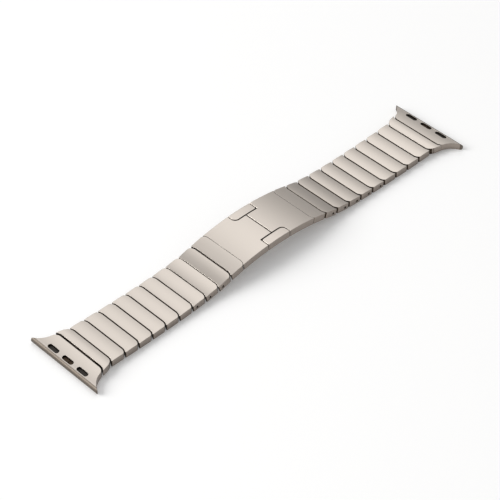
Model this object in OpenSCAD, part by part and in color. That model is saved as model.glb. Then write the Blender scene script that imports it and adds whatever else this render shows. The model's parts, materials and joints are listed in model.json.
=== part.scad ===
// Link watch bracelet with a two-wing folding clasp, laid out flat at rest.
// X runs along the bracelet, Y across it, Z up. The floor is z = 0 and x = 0 is the clasp's middle.
// Both halves are alike: the left one is the right one turned half a turn about Z.
// A link is drawn in its own frame: origin on the hinge line nearer the clasp, +X away from the clasp.

/* [Links] */
// Distance between two neighbouring hinge lines
link_pitch = 5.18; // [4.6:0.02:6.5]
// The same distance on link 1, which is shorter
end_pitch = 3.95; // [3.8:0.05:6]
// Thickness of a link at the crown of its top
link_t = 2.25; // [2.05:0.05:2.6]
// How much the crown stands above the ends of a link's top
link_crown = 0.14; // [0.05:0.01:0.2]
// Width of the links beside the clasp
clasp_w = 17.3; // [16:0.1:22]
// Width of the strand just before it flares to the watch case
strand_w = 18.1; // [17.3:0.1:22]
// Seam between two neighbouring links, seen from above
seam_gap = 0.35; // [0.2:0.05:0.4]
// Plan radius of the rounded corners on the clasp side of a link
corner_r = 2.4; // [2:0.1:3]
// Length across the strand that each rounded corner takes
corner_run = 1.9; // [1.4:0.1:1.95]

/* [Link hinges] */
// Height of the hinge line above the underside of a link
hinge_up = 0.9; // [0.85:0.01:0.95]
// Distance from the hinge line to the edge of the link that carries the pin
hinge_back = 1; // [0.9:0.05:1.2]
// Radius of the hinge pins of the links
pin_r = 0.36; // [0.3:0.01:0.4]
// Radial clearance of a hinge pin in its bores
pin_clear = 0.04; // [0.02:0.01:0.05]
// Radius of the tongue that turns on the pin
tongue_r = 0.62; // [0.58:0.01:0.68]
// Width of the tongue
tongue_w = 11.2; // [8:0.1:12]
// Clearance of the tongue in its pocket
tongue_gap = 0.1; // [0.08:0.01:0.15]
// How deep the ends of the removable pins lie below the side faces
pin_recess = 0.6; // [0.3:0.05:1]

/* [Release buttons] */
// Length of a release button across the strand
release_l = 3.6; // [3:0.1:5]
// Width of a release button along the strand
release_w = 1.4; // [1:0.05:1.5]
// Height of a release button
release_h = 0.8; // [0.6:0.05:0.85]
// Travel of a release button
release_travel = 0.25; // [0.15:0.05:0.3]

/* [Case ends] */
// Width of the end that slides into the watch case
lug_w = 28.1; // [26:0.1:30]
// Width of the strand at the seam before the end piece
flare_w = 20.2; // [19:0.1:22]
// Length of an end piece, from its seam to its nose
lug_len = 6.4; // [6.2:0.05:8]
// Plan radius of the hollow flare at each side
flare_r = 6.4; // [6:0.1:6.7]
// How much the top of an end piece is crowned between its seam and its nose
lug_crown = 0.1; // [0.04:0.01:0.15]
// Radius of the rounded nose that slides in the case
nose_r = 1.1; // [1:0.01:1.2]
// How far the middle of the nose lies below the hinge line
nose_drop = 0.02; // [0:0.01:0.2]
// Length of the oval windows near the nose
window_l = 4.3; // [3:0.1:5]
// Width of the oval windows
window_w = 1.44; // [1:0.02:1.5]
// Depth of the oval windows
window_depth = 1.5; // [1.4:0.05:1.6]
// Distance between two neighbouring windows
window_pitch = 6.2; // [5.5:0.1:7]
// Distance from the row of windows to the middle of the nose
window_back = 0.75; // [0.72:0.01:1.2]
// Height of the rubber pads
pad_h = 0.95; // [0.6:0.05:1.1]
// Travel of the detent
detent_travel = 0.3; // [0.2:0.05:0.35]

/* [Clasp] */
// Radius of the clasp's top, seen from the side
clasp_r = 79.25; // [70:0.25:90]
// Distance from the clasp's middle to the seam of its first link
clasp_half = 19.2; // [18.5:0.05:22]
// Distance from the clasp's middle to the fine seam in each wing
cover_half = 14.07; // [13.9:0.01:14.4]
// Thickness of a cover's top plate
cover_t = 1.05; // [1:0.01:1.1]
// Thickness of the side walls of a cover
skirt_t = 0.6; // [0.4:0.05:0.65]
// Gap between the two covers
middle_gap = 0.35; // [0.25:0.05:0.5]
// Thickness of the folding arms
arm_t = 0.5; // [0.45:0.01:0.55]
// Thickness of the base blade
base_t = 0.6; // [0.5:0.01:0.6]
// Gap between two layers of the folded clasp
layer_gap = 0.1; // [0.08:0.01:0.12]
// Distance from the middle to the hinge of a cover and its arm
inner_hinge = 0.9; // [0.85:0.01:1]
// Distance from the middle to the hinge of an arm and the base
outer_hinge = 12.8; // [12:0.05:12.9]
// Width of the narrow part of an arm
arm_narrow = 6.6; // [5:0.1:6.8]
// Width of the wide part of an arm
arm_wide = 14.8; // [12:0.1:15]
// Radius of the clasp's hinge pins
fold_pin_r = 0.32; // [0.25:0.01:0.36]

/* [Push buttons] */
// Length of a push button along the bracelet
button_l = 8.6; // [7.5:0.1:9]
// Depth of a push button across the bracelet
button_d = 3; // [2.8:0.05:3.1]
// Radius of the wide rounded corner
button_round = 1.5; // [0.8:0.1:2]
// Radius of the tight corner
button_tight = 0.5; // [0.2:0.1:0.8]
// Seam beside a push button
button_gap = 0.25; // [0.2:0.01:0.35]
// Travel of a push button
button_travel = 0.3; // [0.2:0.05:0.3]

/* [Shape at rest] */
// Downward slope of the first link beside the clasp
first_slope = 14.3; // [12:0.1:15.5]
// Number of links over which the slope fades
slope_fade = 1.75; // [1.5:0.05:2.5]
// Upward slope of the last link beside the end piece
last_rise = 3.3; // [1:0.1:5]

/* [Hidden] */
$fn = 64;
titanium = "#c9c1b4";
steel = "#8f8a82";
rubber = "#1d1b19";
LEFT = 180;   // half turn about Z that makes the left half
RIGHT = 0;
links = 10;   // links in each half, number 10 beside the clasp and number 1 beside the end piece
eps = 0.01;
through = 2 * lug_w;   // longer than anything that a cut goes through

bore_r = pin_r + pin_clear;
link_top = link_t - hinge_up;              // crown of a link above its hinge line
link_front = hinge_back + seam_gap;        // clasp-side edge of a link
seam_at = hinge_back + seam_gap / 2;       // middle of the seam
pocket_r = tongue_r + tongue_gap;
lug_end = seam_at + lug_len;
nose_x = lug_end - nose_r;
nose_z = -nose_drop;
window_x = nose_x - window_back;
lug_top = nose_z + nose_r - 0.02;          // where the top runs into the round of the nose
floor_z = lug_top - window_depth;          // floor of the windows
foot_x = link_front + 1.4;                 // where the underside of an end piece starts to deepen
horn_x = link_front + corner_r - sqrt(pow(corner_r + seam_gap, 2) - pow(corner_run, 2)); // horn's tip
core_mid = (link_front + link_pitch - pocket_r) / 2;
release_top = release_h - hinge_up + 0.08; // top of a release button at rest
leaf_t = 0.1;                              // sheet of the flat springs
leaf_h = 0.14;                             // height of a pressed flat spring

// The side outline tapers from the clasp to the flare. Seam 0 is the one at the clasp.
function half_w(seam) = seam >= links ? flare_w / 2 :
    clasp_w / 2 + (strand_w - clasp_w) / 2 * seam / (links - 1);

function pitch(i) = i == links - 1 ? end_pitch : link_pitch;

// The strand's slope at rest: it leaves the clasp steeply, flattens and rises towards the end piece.
function slope(i) = i >= links ? lug_slope :
    first_slope * exp(-i / slope_fade) - last_rise * pow(i / (links - 1), 3);

// A point of the XZ plane turned so that +X tips down by a degrees
function tip(p, a) = [p[0] * cos(a) + p[1] * sin(a), p[1] * cos(a) - p[0] * sin(a)];
function on_arc(r, x) = [x, sqrt(r * r - x * x)];

// Hinge lines, measured from the centre of the clasp's arc
hinge_drop = link_top - link_crown / 2;
hinge_r = clasp_r - hinge_drop;
first_turn = asin(clasp_half / clasp_r) - asin(seam_at / clasp_r);
function hinge(i) = i == 0 ? [hinge_r * sin(first_turn), hinge_r * cos(first_turn)] :
    hinge(i - 1) + tip([pitch(i - 1), 0], slope(i - 1));
arc_z = -min([for (i = [0:links - 1], x = [link_front + 0.3, pitch(i) + horn_x])
    (hinge(i) + tip([x, -hinge_up], slope(i)))[1]]);   // height of the arc's centre above the floor
// The end piece tips down until its nose is on the floor too
lug_slope = atan2(nose_z, nose_x) - asin((nose_r - hinge(links)[1] - arc_z) / norm([nose_x, nose_z]));

// Layers of the folded clasp, as radii from the arc's centre
cover_in = clasp_r - cover_t;
arm_out = cover_in - layer_gap;
arm_in = arm_out - arm_t;
base_out = arm_in - layer_gap;
base_in = base_out - base_t;
wall_in = clasp_r - link_t;                // lower edge of the side walls
cover_turn = asin(cover_half / clasp_r);
fold_clear = 0.04;
fold_r = 0.62;                             // knuckles of the clasp's hinges
inner_pin = on_arc(arm_out + 0.06, inner_hinge);
outer_pin = on_arc(base_out, outer_hinge);
button_in = clasp_w / 2 - button_d;        // inner face of a push button
hook_x = [1.95, 3.3];                      // the hooks and their catches, along X
key_l = 2.2;                               // guide key under a push button
base_w = clasp_w - 2 * skirt_t - 0.4;
waist_w = 2 * (clasp_w / 2 - 0.7 - button_travel - 0.35);
arm_step = button_l / 2 + 0.5;             // where the arms widen
arm_side = 0.3;                            // clearance beside the wide part of an arm
cover_room = max(clasp_w - 2 * skirt_t, arm_wide + 2 * arm_side);
stop_y = button_in - 0.75;                 // the base's stops for the button springs
knuckle_in = arm_narrow / 2 + 0.1;         // the covers' knuckles stand between an arm and the stops
knuckle_out = stop_y - 0.3;
knuckle_y = [2.5, 5];                      // the arm's knuckles stand between these at its outer hinge

// Places its children in one half, in the frame of link or end piece number i from the clasp
module in_strand(side, i) {
    p = hinge(i);
    rotate([0, 0, side]) translate([p[0], 0, p[1] + arc_z]) rotate([0, slope(i), 0]) children();
}
// The frame of the hinge that a clasp wing offers to its first link
module in_wing() {
    p = hinge(0);
    translate([p[0], 0, p[1] + arc_z]) rotate([0, first_turn, 0]) children();
}
// Extrudes a drawing of the XZ plane across Y, w wide
module across(w) rotate([90, 0, 0]) linear_extrude(height = w, center = true) children();
module rod(r, w) rotate([90, 0, 0]) cylinder(r = r, h = w, center = true);
module slab(x0, x1, y0, y1, z0, z1) translate([x0, y0, z0]) cube([x1 - x0, y1 - y0, z1 - z0]);
module both_sides() { children(); mirror([0, 1, 0]) children(); }

// Everything outward of a link's clasp-side edge, with its rounded corners, grown by g
module front_plan(w, g) {
    translate([link_front - g, -(w - corner_run)]) square([through, 2 * (w - corner_run)]);
    for (s = [-1, 1]) translate([link_front + corner_r, s * (w - corner_run)]) circle(r = corner_r + g);
    translate([link_front + corner_r, -through]) square(2 * through);
}
// Outline of a link of pitch p from above, w0 and w1 being half widths at its two seams
module link_plan(p, w0, w1) {
    k = (w1 - w0) / p;
    x1 = p + link_front + corner_r;
    difference() {
        intersection() {
            polygon([[link_front, -w0 - k * (link_front - seam_at)], [x1, -w0 - k * (x1 - seam_at)],
                [x1, w0 + k * (x1 - seam_at)], [link_front, w0 + k * (link_front - seam_at)]]);
            front_plan(w0, 0);
        }
        translate([p, 0]) front_plan(w1, seam_gap);
    }
}
// Tongue on the clasp side of a link, around the hinge line
module tongue(h) {
    rod(tongue_r, tongue_w);
    slab(0, link_front + 0.5, -tongue_w / 2, tongue_w / 2, -tongue_r, h);
}
// Pocket for the next tongue, around a hinge line at the origin, open below and outward
module tongue_pocket() {
    slab(-pocket_r, 3, -tongue_w / 2 - tongue_gap, tongue_w / 2 + tongue_gap, -3, pocket_r);
}
// The sloping relief under a clasp-side edge, which lets a link curl towards the wrist
module curl_relief(w) {
    across(w) polygon([[link_front - 1, -hinge_up - 0.7], [link_front - eps, -hinge_up + 0.45],
        [link_front + 0.4, -hinge_up - eps], [link_front + 0.4, -hinge_up - 0.7]]);
}
module oval(l, w) {
    square([w, l - w], center = true);
    for (s = [-1, 1]) translate([0, s * (l - w) / 2]) circle(d = w);
}
// A flat spring bent to a low arc over length l along Y, standing on z = 0
module leaf(l, w) {
    rise = leaf_h - leaf_t;
    r = (l * l / 4 + rise * rise) / (2 * rise);
    rotate([0, 0, 90]) across(w) intersection() {
        translate([0, leaf_h - r - leaf_t / 2]) difference() {
            circle(r = r + leaf_t / 2, $fn = 128);
            circle(r = r - leaf_t / 2, $fn = 128);
        }
        translate([-l / 2, 0]) square([l, leaf_h]);
    }
}
// A link: body, tongue, pocket and bores. A removable one has through bores and a release pocket.
module link_body(i, removable) {
    w0 = half_w(i);
    w1 = half_w(i + 1);
    p = pitch(i);
    crown_x = seam_at + p / 2;
    crown_r = (p * p / 4 + link_crown * link_crown) / (2 * link_crown);
    difference() {
        union() {
            difference() {
                intersection() {
                    translate([0, 0, -hinge_up]) linear_extrude(height = link_t) link_plan(p, w0, w1);
                    translate([crown_x, 0, link_top - crown_r]) rod(crown_r, through, $fn = 128);
                }
                curl_relief(through);
                translate([p, 0, 0]) tongue_pocket();
            }
            tongue(pocket_r - 0.2);
        }
        rod(bore_r, tongue_w + 1);
        translate([p, 0, 0]) rod(bore_r, through);
        if (removable) translate([core_mid, 0, -hinge_up - 1])
            linear_extrude(height = 1 + hinge_up + release_top + release_travel + leaf_h)
                oval(release_l + 0.1, release_w + 0.1);
    }
    if (removable) translate([core_mid, 0, release_top + release_travel]) leaf(release_l - 1, 0.6);
    else translate([p, 0, 0]) rod(pin_r, 2 * w1 - 0.1);
}
module strand_link(side, k, removable = false)
    color(titanium) in_strand(side, links - k) link_body(links - k, removable);
module removable_pin(side, k) color(steel) in_strand(side, links - k)
    translate([link_pitch, 0, 0]) rod(pin_r, 2 * (half_w(links - k + 1) - pin_recess));
module release_button(side, k) color(titanium) in_strand(side, links - k)
    translate([core_mid, 0, release_top - release_h])
        linear_extrude(height = release_h) oval(release_l, release_w);

module left_link_10() strand_link(LEFT, 10, true);
module left_link_9() strand_link(LEFT, 9, true);
module left_link_8() strand_link(LEFT, 8, true);
module left_link_7() strand_link(LEFT, 7);
module left_link_6() strand_link(LEFT, 6);
module left_link_5() strand_link(LEFT, 5);
module left_link_4() strand_link(LEFT, 4);
module left_link_3() strand_link(LEFT, 3);
module left_link_2() strand_link(LEFT, 2);
module left_link_1() strand_link(LEFT, 1);
module right_link_10() strand_link(RIGHT, 10, true);
module right_link_9() strand_link(RIGHT, 9, true);
module right_link_8() strand_link(RIGHT, 8, true);
module right_link_7() strand_link(RIGHT, 7, true);
module right_link_6() strand_link(RIGHT, 6, true);
module right_link_5() strand_link(RIGHT, 5);
module right_link_4() strand_link(RIGHT, 4);
module right_link_3() strand_link(RIGHT, 3);
module right_link_2() strand_link(RIGHT, 2);
module right_link_1() strand_link(RIGHT, 1);
module left_pin_10() removable_pin(LEFT, 10);
module left_pin_9() removable_pin(LEFT, 9);
module left_pin_8() removable_pin(LEFT, 8);
module right_pin_10() removable_pin(RIGHT, 10);
module right_pin_9() removable_pin(RIGHT, 9);
module right_pin_8() removable_pin(RIGHT, 8);
module right_pin_7() removable_pin(RIGHT, 7);
module right_pin_6() removable_pin(RIGHT, 6);
module left_release_10() release_button(LEFT, 10);
module left_release_9() release_button(LEFT, 9);
module left_release_8() release_button(LEFT, 8);
module right_release_10() release_button(RIGHT, 10);
module right_release_9() release_button(RIGHT, 9);
module right_release_8() release_button(RIGHT, 8);
module right_release_7() release_button(RIGHT, 7);
module right_release_6() release_button(RIGHT, 6);

// End piece that joins the strand to the watch case: flared plan, rounded nose and three windows
module lug_plan() {
    w = half_w(links);
    difference() {
        intersection() {
            translate([link_front, -lug_w / 2]) square([lug_end - link_front, lug_w]);
            front_plan(w, 0);
        }
        for (s = [-1, 1]) {
            translate([seam_at, s * (w + flare_r)]) circle(r = flare_r, $fn = 96);
            translate([link_front - 1, s > 0 ? w : -w - through])
                square([1 + seam_at - link_front + eps, through]);
        }
    }
}
// Side view of an end piece: crowned top, deepening underside and rounded nose
module lug_side() {
    nose = [nose_x, nose_z];
    // The underside slopes into the round of the nose, just above its lowest line
    foot = [foot_x, -hinge_up];
    heel = nose - [0, nose_r - 0.06];
    start = [link_front, link_top - link_crown];
    run = [nose_x, lug_top] - start;
    crown_r = (run * run / 4 + lug_crown * lug_crown) / (2 * lug_crown);
    crown_at = start + run / 2 + (crown_r - lug_crown) * [run[1], -run[0]] / norm(run);
    intersection() {
        polygon([[link_front, -hinge_up], foot, heel, [nose_x, link_top + 1], [link_front, link_top + 1]]);
        translate(crown_at) circle(r = crown_r, $fn = 256);
    }
    translate(nose) circle(r = nose_r);
}
module end_piece(side) color(titanium) in_strand(side, links) difference() {
    union() {
        difference() {
            intersection() {
                translate([0, 0, -through / 2]) linear_extrude(height = through) lug_plan();
                across(lug_w) lug_side();
            }
            curl_relief(through);
        }
        tongue(pocket_r - 0.2);
    }
    rod(bore_r, tongue_w + 1);
    for (k = [-1, 0, 1]) translate([window_x, k * window_pitch, floor_z])
        linear_extrude(height = through) oval(window_l, window_w);
}
module lug_pads(side) color(rubber) in_strand(side, links)
    for (k = [-1, 1]) translate([window_x, k * window_pitch, floor_z])
        linear_extrude(height = pad_h) oval(window_l - 0.1, window_w - 0.1);
// The detent is a sprung key with a low round head, in the middle window
module detent(side) color(steel) in_strand(side, links)
    translate([window_x, 0, floor_z + leaf_h + detent_travel + 0.01]) {
        linear_extrude(height = 0.6) oval(window_l - 0.12, window_w - 0.12);
        translate([0, 0, 0.5]) cylinder(r = 0.4, h = 0.28);
    }
module detent_spring(side) color(steel) in_strand(side, links)
    translate([window_x, 0, floor_z]) leaf(window_l - 1, 0.7);
module left_end_piece() end_piece(LEFT);
module right_end_piece() end_piece(RIGHT);
module left_lug_pads() lug_pads(LEFT);
module right_lug_pads() lug_pads(RIGHT);
module left_detent() detent(LEFT);
module right_detent() detent(RIGHT);
module left_detent_spring() detent_spring(LEFT);
module right_detent_spring() detent_spring(RIGHT);

// A curved layer of the clasp between two radii and two angles from the middle, w wide
module layer(r_in, r_out, a0, a1, w) translate([0, 0, arc_z]) across(w) intersection() {
    difference() {
        circle(r = r_out, $fn = 360);
        circle(r = r_in, $fn = 360);
    }
    polygon([[0, 0], 2 * clasp_r * [sin(a0), cos(a0)], 2 * clasp_r * [sin(a1), cos(a1)]]);
}
module at_pin(p) translate([p[0], 0, p[1] + arc_z]) children();
// Plan of a push button at the near side, grown by g, with a wide right and a tight left corner
module button_plan(g, g_in, wide, tight) {
    x = button_l / 2 + g;
    y = -button_in + g_in;
    translate([-x + tight, -through]) square([2 * x - wide - tight, through + y]);
    translate([-x, -through]) square([tight + eps, through + y - tight]);
    translate([x - wide - eps, -through]) square([wide + eps, through + y - wide]);
    translate([-x + tight, y - tight]) circle(r = tight);
    translate([x - wide, y - wide]) circle(r = wide);
}
// Room for both push buttons, cut through the covers
module button_notches() for (a = [0, 180]) rotate([0, 0, a]) translate([0, 0, -1])
    linear_extrude(height = through)
        button_plan(button_gap, button_travel + 0.05, button_round + button_gap, 0.05);

// Right-hand cover: top plate, side walls, two knuckles at the middle and two latch catches
module cover() {
    catch_y = button_in - 0.7;
    difference() {
        union() {
            difference() {
                union() {
                    layer(cover_in, clasp_r, 0, cover_turn, clasp_w);
                    difference() {
                        layer(wall_in, cover_in + eps, 0, cover_turn, clasp_w);
                        layer(wall_in - 1, cover_in + 2 * eps, -1, cover_turn + 1, cover_room);
                    }
                }
                slab(-1, middle_gap / 2, -through, through, -1, through);
                button_notches();
                // Room for the arm's knuckle, which turns through more than a right angle
                at_pin(inner_pin) rod(fold_r + 0.09, 2 * knuckle_in);
                at_pin(inner_pin) slab(-2, 0, -knuckle_in, knuckle_in, -2, 0.5);
            }
            both_sides() at_pin(inner_pin) translate([0, (knuckle_in + knuckle_out) / 2, 0])
                rod(fold_r, knuckle_out - knuckle_in);
            both_sides() intersection() {
                layer(arm_in + 0.28, cover_in + eps, 0, cover_turn, clasp_w);
                slab(hook_x[0], hook_x[1], catch_y, catch_y + 0.25, 0, through);
            }
        }
        at_pin(inner_pin) rod(fold_pin_r + fold_clear, 2 * knuckle_out + 1);
    }
}
// Full-thickness end of a clasp wing, which carries the first link's hinge
module cover_end() difference() {
    layer(wall_in, clasp_r, cover_turn, cover_turn + 10, clasp_w);
    in_wing() translate([0, 0, -through / 2]) linear_extrude(height = through)
        front_plan(half_w(0), seam_gap);
    in_wing() tongue_pocket();
    in_wing() rod(bore_r, through);
}
module wing_end_pin() in_wing() rod(pin_r, clasp_w - 0.1);
// Folding arm: narrow between the push buttons, wide beyond them
module arm() difference() {
    union() {
        difference() {
            intersection() {
                layer(arm_in, arm_out, 0, 12, arm_wide);
                union() {
                    slab(inner_hinge, arm_step + 1, -arm_narrow / 2, arm_narrow / 2, 0, through);
                    slab(arm_step, outer_hinge, -arm_wide / 2, arm_wide / 2, 0, through);
                }
            }
            // Room for the base's knuckles
            at_pin(outer_pin) rod(fold_r + 0.1, 2 * knuckle_y[0] + 0.2);
            both_sides() at_pin(outer_pin) translate([0, (knuckle_y[1] - 0.1 + arm_wide) / 2, 0])
                rod(fold_r + 0.1, arm_wide - knuckle_y[1] + 0.1);
        }
        at_pin(inner_pin) rod(fold_r, arm_narrow);
        both_sides() at_pin(outer_pin) translate([0, (knuckle_y[0] + knuckle_y[1]) / 2, 0])
            rod(fold_r - 0.02, knuckle_y[1] - knuckle_y[0] - 0.2);
    }
    at_pin(inner_pin) rod(fold_pin_r + fold_clear, through);
    at_pin(outer_pin) rod(fold_pin_r + fold_clear, through);
}
// Base blade: curved strip with hinge knuckles at both ends, stops and slots for the push buttons
module clasp_base() color(titanium) difference() {
    union() {
        difference() {
            intersection() {
                layer(base_in, base_out, -12, 12, base_w);
                union() {
                    slab(-outer_hinge, outer_hinge, -waist_w / 2, waist_w / 2, 0, through);
                    for (a = [0, 180]) rotate([0, 0, a])
                        slab(arm_step, outer_hinge, -base_w / 2, base_w / 2, 0, through);
                }
            }
            // Room for the arms' knuckles
            for (a = [0, 180]) rotate([0, 0, a]) both_sides() at_pin(outer_pin)
                translate([0, (knuckle_y[0] + knuckle_y[1]) / 2, 0])
                    rod(fold_r + 0.1, knuckle_y[1] - knuckle_y[0]);
            // Slots for the guide keys
            both_sides() slab(-key_l / 2 - 0.05, key_l / 2 + 0.05, button_in + 0.35 - button_travel - 0.05,
                button_in + 1.4, 0, through);
        }
        for (a = [0, 180]) rotate([0, 0, a]) {
            at_pin(outer_pin) rod(fold_r - 0.02, 2 * knuckle_y[0]);
            both_sides() at_pin(outer_pin) translate([0, (knuckle_y[1] + base_w / 2) / 2, 0])
                rod(fold_r - 0.02, base_w / 2 - knuckle_y[1]);
        }
        // Stops that the button springs bear on
        both_sides() intersection() {
            layer(base_out - eps, arm_out, -3, 3, clasp_w);
            slab(-1.5, 1.5, stop_y, stop_y + 0.25, 0, through);
        }
    }
    for (a = [0, 180]) rotate([0, 0, a]) at_pin(outer_pin) rod(fold_pin_r + fold_clear, through);
}
// Push button at the near side: head, outer wall, guide key and two hooks under the covers
module push_button() {
    intersection() {
        layer(base_out + 0.05, clasp_r, -5, 5, clasp_w);
        linear_extrude(height = through) button_plan(0, 0, button_round, button_tight);
    }
    intersection() {
        layer(wall_in, clasp_r, -5, 5, clasp_w);
        slab(-button_l / 2, button_l / 2, -clasp_w / 2, -clasp_w / 2 + 0.7, 0, through);
    }
    intersection() {
        layer(base_in + 0.05, base_out + 1, -5, 5, clasp_w);
        slab(-key_l / 2, key_l / 2, -button_in - 1.35, -button_in - 0.35, 0, through);
    }
    for (m = [0, 1]) mirror([m, 0, 0]) {
        intersection() {
            layer(base_out + 0.05, arm_in + 0.2, -5, 5, clasp_w);
            slab(hook_x[0], hook_x[1], -button_in - eps, -button_in + 1.1, 0, through);
        }
        intersection() {
            layer(base_out + 0.05, arm_out, -5, 5, clasp_w);
            slab(hook_x[0], hook_x[1], -button_in + 0.9, -button_in + 1.1, 0, through);
        }
    }
}
module clasp_button_near() color(titanium) push_button();
module clasp_button_far() color(titanium) rotate([0, 0, 180]) push_button();
// Flat springs between the base's stops and the push buttons
module button_springs() color(steel) for (a = [0, 180]) rotate([0, 0, a])
    translate([0, -button_in + 0.5, (base_out + arm_out) / 2 + arc_z]) rotate([90, 0, 0]) rotate([0, 0, 90])
        leaf(2.8, 0.4);
module fold_pin(p, w) at_pin(p) rod(fold_pin_r, w);
module left_arm() color(titanium) rotate([0, 0, LEFT]) arm();
module right_arm() color(titanium) arm();
module left_arm_pin() color(steel) rotate([0, 0, LEFT]) fold_pin(outer_pin, base_w - 0.1);
module right_arm_pin() color(steel) fold_pin(outer_pin, base_w - 0.1);
module left_cover() color(titanium) rotate([0, 0, LEFT]) cover();
module right_cover() color(titanium) cover();
module left_cover_pin() color(steel) rotate([0, 0, LEFT]) fold_pin(inner_pin, 2 * knuckle_out - 0.1);
module right_cover_pin() color(steel) fold_pin(inner_pin, 2 * knuckle_out - 0.1);
module left_cover_end() color(titanium) rotate([0, 0, LEFT]) { cover_end(); wing_end_pin(); }
module right_cover_end() color(titanium) { cover_end(); wing_end_pin(); }

clasp_base();
clasp_button_near();
clasp_button_far();
button_springs();
left_arm();
right_arm();
left_arm_pin();
right_arm_pin();
left_cover();
right_cover();
left_cover_pin();
right_cover_pin();
left_cover_end();
right_cover_end();
left_link_10();
left_link_9();
left_link_8();
left_link_7();
left_link_6();
left_link_5();
left_link_4();
left_link_3();
left_link_2();
left_link_1();
right_link_10();
right_link_9();
right_link_8();
right_link_7();
right_link_6();
right_link_5();
right_link_4();
right_link_3();
right_link_2();
right_link_1();
left_pin_10();
left_pin_9();
left_pin_8();
right_pin_10();
right_pin_9();
right_pin_8();
right_pin_7();
right_pin_6();
left_release_10();
left_release_9();
left_release_8();
right_release_10();
right_release_9();
right_release_8();
right_release_7();
right_release_6();
left_end_piece();
right_end_piece();
left_detent();
right_detent();
left_detent_spring();
right_detent_spring();
left_lug_pads();
right_lug_pads();
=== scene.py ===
"""A link watch bracelet laid out flat: satin links, a folding clasp and slide-in ends.

Sizes are in millimetres while a piece is on the bench, and a finished piece is placed in metres. A
link is shaped in its own frame: its origin is on the hinge line nearer the clasp, X leads away from
the clasp, Y runs across the strand and Z is up. Pieces of the clasp are shaped flat, with Z = 0 at
their top, and are then bent to the clasp's arc.
"""
import json
import logging
from dataclasses import dataclass, field
from enum import Enum
from math import asin, atan2, cos, inf, pi, radians, sin, sqrt
from typing import Callable, Iterable, Sequence

import bpy
import numpy as np
from mathutils import Matrix, Vector


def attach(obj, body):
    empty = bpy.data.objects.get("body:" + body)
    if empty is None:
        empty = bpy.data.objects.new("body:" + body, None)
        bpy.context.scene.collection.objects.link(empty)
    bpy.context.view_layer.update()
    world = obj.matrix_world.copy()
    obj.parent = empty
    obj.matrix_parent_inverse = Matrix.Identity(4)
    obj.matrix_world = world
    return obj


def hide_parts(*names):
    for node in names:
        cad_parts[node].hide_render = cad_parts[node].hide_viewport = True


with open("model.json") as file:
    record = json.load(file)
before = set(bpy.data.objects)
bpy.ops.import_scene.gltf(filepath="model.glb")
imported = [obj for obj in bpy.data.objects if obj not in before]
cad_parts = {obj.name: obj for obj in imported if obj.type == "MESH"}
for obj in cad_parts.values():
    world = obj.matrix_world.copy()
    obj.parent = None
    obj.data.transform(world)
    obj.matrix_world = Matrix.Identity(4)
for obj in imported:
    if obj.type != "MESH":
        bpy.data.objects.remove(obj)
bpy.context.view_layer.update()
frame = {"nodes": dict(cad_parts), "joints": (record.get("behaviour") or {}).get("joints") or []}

MM = 0.001
LINKS = 10  # links on each side of the clasp
FINE = 0.06  # bevel of edges that are hardly rounded
NEAR = 0.01  # how far from a height an edge may lie and still count as on it
SNAP = 1e-5  # a cut this near to a point goes through it
DOUBLED = 0.0006  # points nearer to each other than this are merged
Piece, Material, Array = bpy.types.Object, bpy.types.Material, np.ndarray
Colour = Place = tuple[float, float, float]
Outline = list[tuple[float, float]]
Test = Callable[[Array], Array]
Points = tuple[Array, Array, Array]
Rule = Callable[[Array, Array, Array], Points]
log = logging.getLogger("bracelet")


def at_top(z: float) -> Test:
    """Gives the test for edges that lie on a piece's top, at height z."""
    return lambda e: (e[:, :, 2] > z - NEAR).all(axis=1)


def at_foot(z: float) -> Test:
    """Gives the test for edges that lie on a piece's foot, at height z."""
    return lambda e: (e[:, :, 2] < z + NEAR).all(axis=1)


class Half(Enum):
    """The two halves of the bracelet, which are alike and lie half a turn apart."""

    LEFT = "left"
    RIGHT = "right"

    @property
    def turn(self) -> Matrix:
        """Turns a piece that was shaped in the right half into this half."""
        return Matrix.Rotation(pi if self is Half.LEFT else 0.0, 4, "Z")


class Mark(Enum):
    """What kind of mesh part an edit acts on."""

    EDGE = "EDGE"
    FACE = "FACE"


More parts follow.
